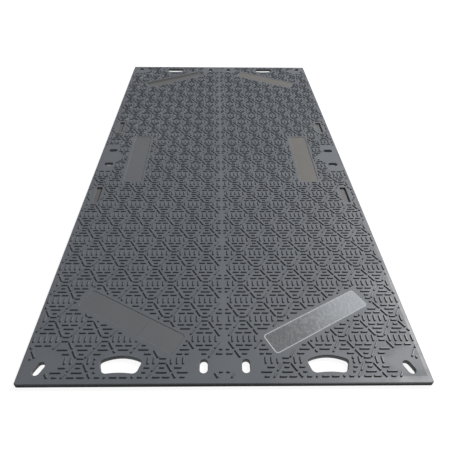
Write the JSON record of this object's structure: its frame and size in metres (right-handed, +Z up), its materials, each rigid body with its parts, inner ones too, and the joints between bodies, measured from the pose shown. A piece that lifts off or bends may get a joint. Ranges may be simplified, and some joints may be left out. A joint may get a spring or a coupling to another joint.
{
  "type": "temporary road plate",
  "caption": "Flat moulded ground plate with a raised tread of bars, hand holes near its ends, linking slots along its edges and plain shallow panels.",
  "frame": {"origin": "middle of the underside, where the plate rests on the ground", "axes": "+X across the plate, +Y along its length, +Z up through the tread"},
  "size_m": [1.22, 2.44, 0.02],
  "materials": {
    "plate": "dark grey moulded plastic, dull, lightly scuffed and dusty"
  },
  "bodies": {
    "root": {"road_plate": "plate"}
  },
  "joints": []
}
